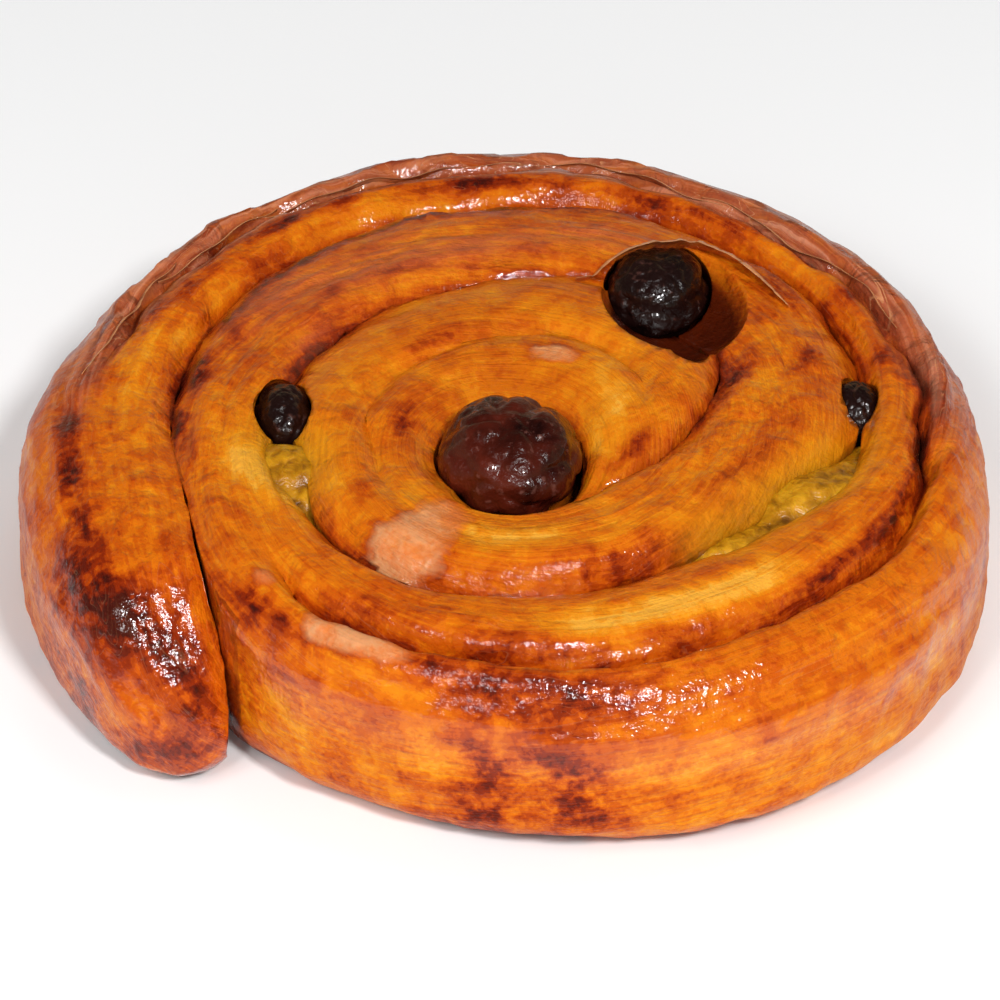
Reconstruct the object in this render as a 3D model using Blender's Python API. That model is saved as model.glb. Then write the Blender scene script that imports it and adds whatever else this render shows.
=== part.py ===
"""Pain aux raisins: a strip of laminated dough rolled up round custard and raisins.

Metres, +Z up. The roll lies flat on its base, its loose outer end towards -X and -Y,
and the middle of its outline stands at the origin.
"""
import math

import bmesh
import bpy
from mathutils import Vector, noise

MM = 0.001

# The strip's edge is one long spiral. It starts at the loose end, runs clockwise seen
# from above, and is given by its distance in mm from the raisin in the middle, once
# every 30 degrees. The first turn is the outer wall, the others are the crease.
END_ANGLE = 221.0
RADIUS_STEP = 30.0
WALL_TURN = (39.2, 41.4, 43.3, 45.3, 48.2, 47.2, 44.2, 41.4, 39.8, 37.0, 33.2, 30.8)
FIRST_CREASE = (30.4, 28.2, 31.0, 34.8, 37.6, 38.2, 35.8, 30.8, 23.2, 19.0, 18.1, 18.4)
SECOND_CREASE = (18.6, 18.8, 20.8, 22.4, 24.2, 26.4, 23.4, 15.6, 10.2, 8.2, 7.0, 6.4)
INNER_HOLE = (6.2,) * 12
EDGE_RADII = WALL_TURN + FIRST_CREASE + SECOND_CREASE + INNER_HOLE
STRIP_END = 990.0

# Heights of the dough. The top is a low dome, and every turn is a rounded ridge on it.
CREST_MIDDLE = 19.6 * MM
CREST_FALL = 3.6 * MM
DOME_REACH = 44.0 * MM
DOME_CENTRE = (-1.0 * MM, 6.0 * MM)
CREASE_DEPTH = 2.6 * MM
INNER_CREASE_DEPTH = 1.7 * MM
INNER_CREASE_FROM = (330.0, 420.0)
SHOULDER = 0.34
SHOULDER_POWER = 2.4
LIP_DROP = 3.4 * MM
WALL_TO = (345.0, 375.0)
TAIL_DROP = 9.5 * MM
TAIL_SLOPE = (-6.0, 17.0)
TAIL_START = -2.5
TAIL_NOSE = 14.0
TAIL_NOSE_SIDE = 0.3
TAIL_FIRST_CUT = 0.15

# The outer wall bulges a little and is rounded in towards the base.
WALL_BULGE = 0.9 * MM
WALL_BULGE_SHARE = 0.45
FOOT_INSET = 2.2 * MM
FOOT_SHARE = 0.75
FOOT_LIFT = 0.5 * MM

# A groove splits the outer turn into a thin lip and a paler flank.
LIP_WIDTH = 4.7 * MM
LIP_EXTRA = 2.6 * MM
LIP_WIDEST = 265.0
LIP_SPREAD = 35.0
LIP_SHARE_LEAST = 0.2
GROOVE_WIDTH = 1.0 * MM
GROOVE_POWER = 1.5
LIP_GROOVE_FROM = (55.0, 75.0)
LIP_GROOVE_FRONT_FROM = (195.0, 225.0)
LIP_GROOVE_TO = (345.0, 372.0)
LIP_GROOVE_DEPTH_BACK = 1.25 * MM
LIP_GROOVE_DEPTH_FRONT = 2.4 * MM

# A softer groove marks the start of the strip, round the middle raisin.
CORE_GROOVE_DEPTH = 0.9 * MM
CORE_GROOVE_SHARE = 0.48
CORE_GROOVE_BLEND = (345.0, 400.0)
CORE_GROOVE_FROM = (715.0, 745.0)
CORE_GROOVE_TO = (895.0, 925.0)

# The strip's inner end runs down beside the raisin, and the top dips a little there.
INNER_END_START = 915.0
INNER_END_DROP = 2.6 * MM
MIDDLE_DIP = 1.8 * MM
MIDDLE_DIP_REACH = 10.0 * MM

# Custard lies between the turns, and wells up out of the crease in three places.
CUSTARD_THICK = 0.5 * MM
CUSTARD_START = 16.0
CUSTARD_END = 600.0
CUSTARD_BOTTOM = 2.8 * MM
CUSTARD_BELOW_SHOULDER = 1.7 * MM
CUSTARD_SWELL = 0.9 * MM
CUSTARD_WELLS = ((229.0, 13.0, 3.4 * MM), (252.0, 10.0, 1.8 * MM), (397.0, 15.0, 2.8 * MM))
GAP = 0.3 * MM

# The turns are baked together at the bottom and in the middle.
BASE_THICK = 2.5 * MM
BASE_LOOPS = ((3.2 * MM, 0.0), (1.4 * MM, 0.9 * MM), (1.6 * MM, BASE_THICK))
BASE_START = 8.0
BASE_END = 358.0
BASE_STEP = 5.0
NOTCH_TURN = 4.0
CORE_RADIUS = 7.6 * MM
CORE_BOTTOM = 1.0 * MM
CORE_TOP = 14.0 * MM
CORE_SIDES = 32

# Raisins: place from the middle of the roll, height of the centre, half sizes, turn.
RAISINS = {
    "raisin_centre": (-0.1, -0.7, 17.3, 6.5, 6.7, 4.9, 20.0),
    "raisin_back": (12.9, 25.2, 15.6, 4.8, 5.3, 4.2, -30.0),
    "raisin_left": (-19.7, 6.0, 16.2, 2.7, 3.9, 3.2, 8.0),
    "raisin_right": (29.9, 9.0, 14.4, 2.7, 3.3, 3.1, 15.0),
}
# The dough has split open round the back raisin, and sunk in front of the middle one.
HOLLOWS = {
    "back_split": (14.4, 20.8, 19.6, 6.6, 8.8, 5.4, 10.0),
    "front_mouth": (0.2, -4.6, 20.4, 6.4, 4.4, 3.4, 0.0),
}
RAISIN_SIDES = 20
RAISIN_RINGS = 12
LARGE_SIDES = 28
LARGE_RINGS = 16
WRINKLE_DEPTH = 0.45 * MM
WRINKLE_SIZE = 4.2 * MM

RELIEF_DEPTH = 0.42 * MM
RELIEF_SIZE = 6.5 * MM
FLAKE_DEPTH = 0.24 * MM
FLAKE_SIZE = 2.6 * MM

TURN_STEPS = ((12.0, 1.6), (360.0, 4.5), (720.0, 6.0), (STRIP_END, 9.0))
FLANK_SAMPLES = (0.0, 0.05, 0.14, 0.28, 0.5, 0.72, 0.87, 0.95)
LIP_SAMPLES = (0.0, 0.1, 0.25, 0.45, 0.66, 0.82, 0.94, 1.0)
WALL_SAMPLES = (0.3, 0.55, 0.8, 0.93, 1.0)
SHARP_ANGLE = 50.0

DOUGH_COLOUR = (0.70, 0.26, 0.035, 1.0)
CUSTARD_COLOUR = (0.62, 0.42, 0.05, 1.0)
RAISIN_COLOUR = (0.030, 0.008, 0.006, 1.0)


def clear_scene():
    for item in list(bpy.data.objects):
        bpy.data.objects.remove(item, do_unlink=True)


def make_material(name, colour, roughness):
    material = bpy.data.materials.new(name)
    material.use_nodes = True
    shader = material.node_tree.nodes["Principled BSDF"]
    shader.inputs["Base Color"].default_value = colour
    shader.inputs["Roughness"].default_value = roughness
    shader.inputs["Metallic"].default_value = 0.0
    return material


def add_object(name, bm, material):
    mesh = bpy.data.meshes.new(name)
    bmesh.ops.recalc_face_normals(bm, faces=bm.faces)
    bm.to_mesh(mesh)
    bm.free()
    mesh.materials.append(material)
    mesh.shade_smooth()
    mesh.set_sharp_from_angle(angle=math.radians(SHARP_ANGLE))
    item = bpy.data.objects.new(name, mesh)
    bpy.context.scene.collection.objects.link(item)
    return item


def smooth_step(low, high, value):
    share = min(max((value - low) / (high - low), 0.0), 1.0)
    return share * share * (3.0 - 2.0 * share)


def edge_radius(turn):
    """Distance of the strip's inner edge from the middle, at a winding angle."""
    place = (turn + 360.0) / RADIUS_STEP
    index = int(math.floor(place))
    share = place - index
    last = len(EDGE_RADII) - 1
    r0, r1, r2, r3 = (EDGE_RADII[min(max(index + k, 0), last)] for k in (-1, 0, 1, 2))
    bend = 2.0 * r0 - 5.0 * r1 + 4.0 * r2 - r3
    twist = 3.0 * (r1 - r2) + r3 - r0
    return MM * 0.5 * (2.0 * r1 + (r2 - r0) * share + bend * share ** 2 + twist * share ** 3)


def polar_point(turn, radius):
    angle = math.radians(END_ANGLE - turn)
    return radius * math.cos(angle), radius * math.sin(angle)


def custard_half(turn):
    """Half the width of the custard at the top of the crease."""
    width = CUSTARD_THICK
    for place, spread, extra in CUSTARD_WELLS:
        width += extra * math.exp(-((turn - place) / spread) ** 2)
    return 0.5 * width


def crest_height(turn, radius):
    x, y = polar_point(turn, radius)
    distance = math.hypot(x - DOME_CENTRE[0], y - DOME_CENTRE[1])
    return CREST_MIDDLE - CREST_FALL * (distance / DOME_REACH) ** 2


def relief(turn, radius, height):
    x, y = polar_point(turn, radius)
    broad = noise.noise(Vector((x, y, height)) / RELIEF_SIZE)
    fine = noise.noise(Vector((x + 1.0, y, height)) / FLAKE_SIZE)
    return RELIEF_DEPTH * broad + FLAKE_DEPTH * fine


def crease_depth(turn):
    """How far the shoulders drop into the crease at the strip's inner edge."""
    inner = smooth_step(*INNER_CREASE_FROM, turn)
    return CREASE_DEPTH + (INNER_CREASE_DEPTH - CREASE_DEPTH) * inner


def groove_share(turn, width):
    """Place of the groove across the strip: inside the lip, and further in at the core."""
    lip_width = LIP_WIDTH + LIP_EXTRA * math.exp(-((turn - LIP_WIDEST) / LIP_SPREAD) ** 2)
    lip = max(1.0 - lip_width / width, LIP_SHARE_LEAST)
    return lip + (CORE_GROOVE_SHARE - lip) * smooth_step(*CORE_GROOVE_BLEND, turn)


def groove_depth(turn):
    front = smooth_step(*LIP_GROOVE_FRONT_FROM, turn)
    lip = LIP_GROOVE_DEPTH_BACK * (1.0 - front) + LIP_GROOVE_DEPTH_FRONT * front
    lip *= smooth_step(*LIP_GROOVE_FROM, turn) * (1.0 - smooth_step(*LIP_GROOVE_TO, turn))
    core = smooth_step(*CORE_GROOVE_FROM, turn) * (1.0 - smooth_step(*CORE_GROOVE_TO, turn))
    return lip + CORE_GROOVE_DEPTH * core


def wall_share(turn):
    """1 on the outer turn, whose outside is the wall, and 0 on the turns inside it."""
    return 1.0 - smooth_step(*WALL_TO, turn)


def tail_shape(turn):
    """Share of the strip's width left at its rounded loose end."""
    share = min((turn - TAIL_START) / TAIL_NOSE, 1.0)
    return math.sqrt(max(1.0 - (1.0 - share) ** 2, 0.0))


def top_height(turn, share, radius, groove_radius):
    height = crest_height(turn, radius)
    inner_roll = max(1.0 - share / SHOULDER, 0.0) ** SHOULDER_POWER
    outer_roll = max(1.0 - (1.0 - share) / SHOULDER, 0.0) ** SHOULDER_POWER
    wall = wall_share(turn)
    outer_depth = crease_depth(turn - 360.0) * (1.0 - wall) + LIP_DROP * wall
    height -= crease_depth(turn) * inner_roll + outer_depth * outer_roll
    offset = abs(radius - groove_radius) / GROOVE_WIDTH
    height -= groove_depth(turn) * math.exp(-offset ** GROOVE_POWER)
    height -= TAIL_DROP * (1.0 - smooth_step(*TAIL_SLOPE, turn))
    height -= INNER_END_DROP * smooth_step(INNER_END_START, STRIP_END, turn)
    height -= MIDDLE_DIP * math.exp(-(radius / MIDDLE_DIP_REACH) ** 2)
    return height + relief(turn, radius, height)


def strip_section(turn):
    """Outline of the strip across its width, from the inner foot round to the outer."""
    inner = edge_radius(turn) + custard_half(turn) + GAP
    outer = edge_radius(turn - 360.0)
    wall = wall_share(turn)
    outer -= (custard_half(turn - 360.0) + GAP) * (1.0 - wall)
    middle = inner + (outer - inner) * TAIL_NOSE_SIDE
    width = tail_shape(turn)
    inner = middle + (inner - middle) * width
    outer = middle + (outer - middle) * width
    floor = FOOT_LIFT
    inner_foot = edge_radius(turn) + 0.5 * CUSTARD_THICK + GAP
    inner_foot = middle + (inner_foot - middle) * width
    points = [(inner_foot, floor)]
    groove = groove_share(turn, outer - inner)
    shares = [groove * sample for sample in FLANK_SAMPLES]
    shares += [groove + (1.0 - groove) * sample for sample in LIP_SAMPLES]
    for share in shares:
        radius = inner + (outer - inner) * share
        groove_radius = inner + (outer - inner) * groove
        points.append((radius, top_height(turn, share, radius, groove_radius)))
    top = points[-1][1]
    for share in WALL_SAMPLES:
        height = top + (floor - top) * share
        bulge = WALL_BULGE * (1.0 - (2.0 * (share - WALL_BULGE_SHARE)) ** 2)
        foot = FOOT_INSET * max(share - FOOT_SHARE, 0.0) / (1.0 - FOOT_SHARE)
        radius = outer + wall * width * (bulge - foot + relief(turn, outer, height))
        points.append((radius, height))
    return points


def turn_values():
    values = [TAIL_START + TAIL_FIRST_CUT]
    for limit, step in TURN_STEPS:
        while values[-1] + step < limit:
            values.append(values[-1] + step)
    values.append(STRIP_END)
    return values


def sweep(bm, sections):
    """Join outlines along the spiral into one closed body with flat ends."""
    rings = []
    for turn, points in sections:
        ring = []
        for radius, height in points:
            x, y = polar_point(turn, radius)
            ring.append(bm.verts.new((x, y, height)))
        rings.append(ring)
    for first, second in zip(rings, rings[1:]):
        count = len(first)
        for index in range(count):
            after = (index + 1) % count
            bm.faces.new((first[index], first[after], second[after], second[index]))
    bm.faces.new(rings[0])
    bm.faces.new(rings[-1])


def build_strip(material):
    bm = bmesh.new()
    sweep(bm, [(turn, strip_section(turn)) for turn in turn_values()])
    bmesh.ops.triangulate(bm, faces=[face for face in bm.faces if len(face.verts) > 4])
    return add_object("dough", bm, material)


def build_base(material):
    """The baked underside: a plate that follows the roll's outline, notch and all."""
    bm = bmesh.new()
    count = round((BASE_END - BASE_START) / BASE_STEP) + 1
    turns = [BASE_START + BASE_STEP * k for k in range(count)]
    loops = []
    for inset, height in BASE_LOOPS:
        loop = []
        for turn in turns:
            x, y = polar_point(turn, edge_radius(turn - 360.0) - inset)
            loop.append(bm.verts.new((x, y, height)))
        x, y = polar_point(NOTCH_TURN, edge_radius(NOTCH_TURN) - inset)
        loop.append(bm.verts.new((x, y, height)))
        loops.append(loop)
    for low, high in zip(loops, loops[1:]):
        for index in range(len(low)):
            after = (index + 1) % len(low)
            bm.faces.new((low[index], low[after], high[after], high[index]))
    bm.faces.new(loops[0])
    bm.faces.new(loops[-1])
    return add_object("base_plate", bm, material)


def build_core(material):
    """A plug that fills the middle of the spiral, under the raisin that stands there."""
    bm = bmesh.new()
    bmesh.ops.create_cone(bm, cap_ends=True, segments=CORE_SIDES, radius1=CORE_RADIUS,
                          radius2=CORE_RADIUS, depth=CORE_TOP - CORE_BOTTOM)
    bmesh.ops.translate(bm, verts=bm.verts, vec=(0.0, 0.0, 0.5 * (CORE_TOP + CORE_BOTTOM)))
    return add_object("core", bm, material)


def custard_section(turn):
    """The custard sheet across its thickness, standing between two turns."""
    crease = edge_radius(turn)
    top_half = custard_half(turn)
    foot_half = 0.5 * CUSTARD_THICK
    well = (top_half - foot_half) / max(0.5 * extra for _, _, extra in CUSTARD_WELLS)
    shoulder = crest_height(turn, crease) - crease_depth(turn)
    top = shoulder - CUSTARD_BELOW_SHOULDER * (1.0 - well)
    swell = CUSTARD_SWELL * well
    return [
        (crease - foot_half, CUSTARD_BOTTOM),
        (crease - top_half, top),
        (crease, top + swell),
        (crease + top_half, top),
        (crease + foot_half, CUSTARD_BOTTOM),
    ]


def build_custard(material):
    bm = bmesh.new()
    turns = [turn for turn in turn_values() if CUSTARD_START < turn < CUSTARD_END]
    sweep(bm, [(turn, custard_section(turn)) for turn in turns])
    bmesh.ops.triangulate(bm, faces=[face for face in bm.faces if len(face.verts) > 4])
    return add_object("custard", bm, material)


def build_raisin(name, material, measures, grow, wrinkled):
    """A wrinkled raisin, or, grown by the gap and smooth, the space that it needs."""
    x, y, z, half_x, half_y, half_z, angle = measures
    sides, rings = RAISIN_SIDES, RAISIN_RINGS
    if name == "raisin_centre":
        sides, rings = LARGE_SIDES, LARGE_RINGS
    bm = bmesh.new()
    bmesh.ops.create_uvsphere(bm, u_segments=sides, v_segments=rings, radius=1.0)
    spin = math.radians(angle)
    for vert in bm.verts:
        point = Vector((vert.co.x * half_x, vert.co.y * half_y, vert.co.z * half_z)) * MM
        outward = vert.co.normalized()
        shift = grow
        if wrinkled:
            fold = noise.noise(point / WRINKLE_SIZE + Vector((x, y, z)))
            shift -= WRINKLE_DEPTH * abs(fold) * 2.0
        point += outward * shift
        turned_x = point.x * math.cos(spin) - point.y * math.sin(spin)
        turned_y = point.x * math.sin(spin) + point.y * math.cos(spin)
        vert.co = Vector((turned_x + x * MM, turned_y + y * MM, point.z + z * MM))
    return add_object(name if wrinkled else name + "_space", bm, material)


def apply_boolean(item, others, operation):
    """Join or cut item with the others by one Boolean, and remove them."""
    group = bpy.data.collections.new(operation.lower() + "_pieces")
    for other in others:
        group.objects.link(other)
    change = item.modifiers.new("shape", "BOOLEAN")
    change.operation = operation
    change.operand_type = "COLLECTION"
    change.collection = group
    change.solver = "EXACT"
    graph = bpy.context.evaluated_depsgraph_get()
    mesh = bpy.data.meshes.new_from_object(item.evaluated_get(graph))
    item.modifiers.remove(change)
    item.data = mesh
    for other in others:
        bpy.data.objects.remove(other, do_unlink=True)
    bpy.data.collections.remove(group)


def centre_on_origin(items):
    """Move every piece alike, so that the roll's outline is centred on the origin."""
    dough = items[0].data.vertices
    mid_x = 0.5 * (min(v.co.x for v in dough) + max(v.co.x for v in dough))
    mid_y = 0.5 * (min(v.co.y for v in dough) + max(v.co.y for v in dough))
    for item in items:
        for vert in item.data.vertices:
            vert.co.x -= mid_x
            vert.co.y -= mid_y


def build_roll():
    clear_scene()
    crust = make_material("baked dough", DOUGH_COLOUR, 0.35)
    cream = make_material("custard", CUSTARD_COLOUR, 0.45)
    fruit = make_material("raisin", RAISIN_COLOUR, 0.3)
    dough = build_strip(crust)
    apply_boolean(dough, [build_base(crust), build_core(crust)], "UNION")
    custard = build_custard(cream)
    for item in (dough, custard):
        spaces = [build_raisin(name, fruit, RAISINS[name], GAP, False) for name in RAISINS]
        spaces += [build_raisin(name, fruit, HOLLOWS[name], 0.0, False) for name in HOLLOWS]
        apply_boolean(item, spaces, "DIFFERENCE")
    raisins = [build_raisin(name, fruit, RAISINS[name], 0.0, True) for name in RAISINS]
    centre_on_origin([dough, custard] + raisins)


build_roll()
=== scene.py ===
import math

import bmesh
import bpy
import numpy as np
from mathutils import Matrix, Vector, noise


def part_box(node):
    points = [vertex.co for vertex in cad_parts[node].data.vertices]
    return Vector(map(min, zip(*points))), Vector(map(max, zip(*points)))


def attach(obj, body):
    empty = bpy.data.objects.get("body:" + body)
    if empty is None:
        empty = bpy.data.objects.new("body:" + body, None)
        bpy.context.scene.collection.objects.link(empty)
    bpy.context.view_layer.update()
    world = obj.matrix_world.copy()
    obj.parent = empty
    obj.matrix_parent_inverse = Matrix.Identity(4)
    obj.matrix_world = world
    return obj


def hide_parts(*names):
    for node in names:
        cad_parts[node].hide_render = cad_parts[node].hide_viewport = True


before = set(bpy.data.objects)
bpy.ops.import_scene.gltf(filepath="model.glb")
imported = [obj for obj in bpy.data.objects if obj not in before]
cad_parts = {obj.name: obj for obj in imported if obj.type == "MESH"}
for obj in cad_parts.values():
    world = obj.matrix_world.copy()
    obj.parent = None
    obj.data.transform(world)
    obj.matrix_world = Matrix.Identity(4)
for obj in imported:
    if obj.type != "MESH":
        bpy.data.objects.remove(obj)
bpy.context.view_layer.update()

# The rolled strip
# One long strip of laminated dough, rolled up clockwise from its loose end at the front
# left, baked until the turns held together, and glazed. It is swept along its spiral.
MM = 0.001
# Lengths are in mm from the middle of the spiral. A turn is a winding angle in degrees, 0
# near the loose end, and a share runs across the strip from its inner edge to its outer.
END_ANGLE = 221.0
# Radius of the strip's edge at every step: the outside, then the creases inwards.
RADIUS_STEP = 30.0
WALL_TURN = (39.2, 41.4, 43.3, 45.3, 48.2, 47.2, 44.2, 41.4, 39.8, 37.0, 33.2, 30.8)
FIRST_CREASE = (30.4, 28.2, 31.0, 34.8, 37.6, 38.2, 35.8, 30.8, 23.2, 19.0, 18.1, 18.4)
SECOND_CREASE = (18.6, 18.8, 20.8, 22.4, 24.2, 26.4, 23.4, 15.6, 10.2, 8.2, 7.0, 6.4)
INNER_HOLE = (6.2,) * 12
EDGE_RADII = np.array(WALL_TURN + FIRST_CREASE + SECOND_CREASE + INNER_HOLE)
STRIP_END = 990.0
# The turns over which one form passes into the next. A span has two such ranges, where it
# begins and where it ends.
WALL_ENDS = (345.0, 375.0)
LIP_SPAN = (55.0, 75.0, 345.0, 372.0)
LIP_FRONT = (195.0, 225.0)
CORE_GROOVE_SPAN = (715.0, 745.0, 895.0, 925.0)
INNER_CREASES = (330.0, 420.0)
TAIL_CREASE_ENDS = (36.0, 66.0)
TAIL_SLOPE = (-6.0, 17.0)
# Heights and depths of the top.
CREST_MIDDLE = 19.6
CREST_FALL = 3.6
DOME_REACH = 44.0
DOME_CENTRE = (-1.0, 6.0)
CREASE_DEPTH = 2.6
TAIL_CREASE_FILL = 1.5
INNER_CREASE_DEPTH = 1.7
SHOULDER = 0.34
SHOULDER_POWER = 2.4
LIP_DROP = 3.4
TAIL_DROP = 9.5
TAIL_START = -2.5
TAIL_NOSE = 14.0
TAIL_NOSE_SIDE = 0.3
TAIL_TIP = 6.0
TAIL_MIDDLE = 3.4
WALL_BULGE = 0.58
WALL_FULLEST = 0.45
FOOT_SHARE = 0.25
FOOT_CURVE = 1.6
FOOT_INSET = 2.2
FOOT_LIFT = 0.5
FLOOR_CLEAR = 0.03
LIP_WIDTH = 4.7
LIP_EXTRA = 2.6
LIP_WIDEST = 265.0
LIP_SPREAD = 35.0
GROOVE_SHARPNESS = 1.5
SEAM_DEPTH = 0.7
SEAM_WIDTH = 0.3
SEAM_INWARD = 0.2
LIP_WANDER = 0.5
LIP_GROOVE_BACK = 1.25
LIP_GROOVE_FRONT = 2.4
LIP_RISE = 0.45
LIP_RIDGE_OUT = 1.6
LIP_RIDGE_WIDTH = 0.9
CORE_GROOVE_DEPTH = 0.9
CORE_GROOVE_SHARE = 0.48
INNER_END_START = 915.0
INNER_END_DROP = 2.6
MIDDLE_DIP = 1.8
MIDDLE_DIP_REACH = 10.0
# Where custard holds a crease open: turn, spread of the opening in turn, and its width.
WELLS = ((229.0, 13.0, 3.4), (252.0, 10.0, 1.8), (397.0, 15.0, 2.8))
SLOT_LOW = 0.34
SLOT_TOP = 0.04
SLOT_CURVE = 4
# How finely the strip is cut, along it and round each section.
ALONG_STEP = 0.6
TIP_STEP = 0.35
INNER_ROWS = 7
FLANK_ROWS = 19
LIP_ROWS = 15
OUTER_ROWS = 22
BOTTOM_ROWS = 7


def smooth_step(low, high, value):
    share = np.clip((value - low) / (high - low), 0.0, 1.0)
    return share * share * (3.0 - 2.0 * share)


def fade(low, high, value):
    return 1.0 - smooth_step(low, high, value)


def within(span, turn):
    """1 inside a span of turns, 0 outside it."""
    return smooth_step(*span[:2], turn) * fade(*span[2:], turn)


def curve_point(p0, p1, p2, p3, t):
    """A smooth curve between the second and third of four places, t running from 0 to 1."""
    bend = 2.0 * p0 - 5.0 * p1 + 4.0 * p2 - p3
    twist = 3.0 * (p1 - p2) + p3 - p0
    return 0.5 * (2.0 * p1 + (p2 - p0) * t + bend * t ** 2 + twist * t ** 3)


def edge_radius(turn):
    """Distance in mm of the strip's inner edge from the middle, at a winding angle."""
    place = (np.asarray(turn, dtype=float) + 360.0) / RADIUS_STEP
    index = np.floor(place).astype(int)
    last = len(EDGE_RADII) - 1
    near = [EDGE_RADII[np.clip(index + k, 0, last)] for k in (-1, 0, 1, 2)]
    return curve_point(*near, place - index)


def polar_point(turn, radius):
    angle = np.radians(END_ANGLE - turn)
    return radius * np.cos(angle), radius * np.sin(angle)


def well_half(turn):
    """Half the width by which custard holds the crease open."""
    return sum(0.5 * extra * np.exp(-((turn - at) / spread) ** 2) for at, spread, extra in WELLS)


def crest_height(turn, radius):
    x, y = polar_point(turn, radius)
    distance = np.hypot(x - DOME_CENTRE[0], y - DOME_CENTRE[1])
    return CREST_MIDDLE - CREST_FALL * (distance / DOME_REACH) ** 2


def crease_depth(turn):
    """Depth of the crease on a turn's inner side, nearly baked shut beside the loose end."""
    inner = smooth_step(*INNER_CREASES, turn)
    tail = fade(*TAIL_CREASE_ENDS, turn)
    return CREASE_DEPTH + (INNER_CREASE_DEPTH - CREASE_DEPTH) * inner - TAIL_CREASE_FILL * tail


def outer_turn(turn):
    """1 on the outer turn, whose outside is the wall, and 0 on the turns inside it."""
    return fade(*WALL_ENDS, turn)


def groove_share(turn, width):
    """Share of the strip's width at which the groove inside the lip runs."""
    lip_width = LIP_WIDTH + LIP_EXTRA * np.exp(-((turn - LIP_WIDEST) / LIP_SPREAD) ** 2)
    bend = np.radians(turn)
    wander = np.sin(7.0 * bend) + 0.6 * np.sin(17.0 * bend + 1.0) + 0.4 * np.sin(41.0 * bend + 2.0)
    wander = LIP_WANDER * wander * (1.0 - 0.6 * smooth_step(200.0, 240.0, turn))
    lip = np.maximum(1.0 - (lip_width + wander) / width, 0.2)
    return lip + (CORE_GROOVE_SHARE - lip) * smooth_step(345.0, 400.0, turn)


def lip_shown(turn):
    return within(LIP_SPAN, turn)


def groove_depth(turn):
    front = smooth_step(*LIP_FRONT, turn)
    lip = (LIP_GROOVE_BACK * (1.0 - front) + LIP_GROOVE_FRONT * front) * lip_shown(turn)
    return lip + CORE_GROOVE_DEPTH * within(CORE_GROOVE_SPAN, turn)


def top_height(turn, share, radius, groove_radius):
    """Height of the dough's top, rolled over at its edges, with the groove and the lip."""
    height = crest_height(turn, radius)
    inner_roll = np.maximum(1.0 - share / SHOULDER, 0.0) ** SHOULDER_POWER
    outer_roll = np.maximum(1.0 - (1.0 - share) / SHOULDER, 0.0) ** SHOULDER_POWER
    wall = outer_turn(turn)
    outer_depth = crease_depth(turn - 360.0) * (1.0 - wall) + LIP_DROP * wall
    height = height - crease_depth(turn) * inner_roll - outer_depth * outer_roll
    offset = radius - groove_radius
    height -= groove_depth(turn) * np.exp(-np.abs(offset) ** GROOVE_SHARPNESS)
    seam = (offset + SEAM_INWARD) / SEAM_WIDTH
    height -= SEAM_DEPTH * lip_shown(turn) * np.exp(-seam ** 2)
    ridge = (offset - LIP_RIDGE_OUT) / LIP_RIDGE_WIDTH
    height += LIP_RISE * lip_shown(turn) * np.exp(-ridge ** 2)
    height -= TAIL_DROP * fade(*TAIL_SLOPE, turn)
    height -= INNER_END_DROP * smooth_step(INNER_END_START, STRIP_END, turn)
    height -= MIDDLE_DIP * np.exp(-(radius / MIDDLE_DIP_REACH) ** 2)
    return height


def cosine_steps(count):
    return 0.5 * (1.0 - np.cos(np.pi * np.arange(count) / (count - 1)))


def strip_turns():
    turns = [TAIL_START + 0.05]
    while turns[-1] < STRIP_END:
        reach = float(edge_radius(turns[-1] - 360.0))
        step = math.degrees(ALONG_STEP / reach)
        turns.append(turns[-1] + step * (TIP_STEP if turns[-1] < TAIL_TIP else 1.0))
    return np.array(turns)


def rounded_end(turn, length):
    """Rises from 0 at the tip of the loose end to 1, along a quarter circle."""
    part = np.clip((turn - TAIL_START) / length, 0.0, 1.0)
    return np.sqrt(np.maximum(1.0 - (1.0 - part) ** 2, 0.0))


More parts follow.
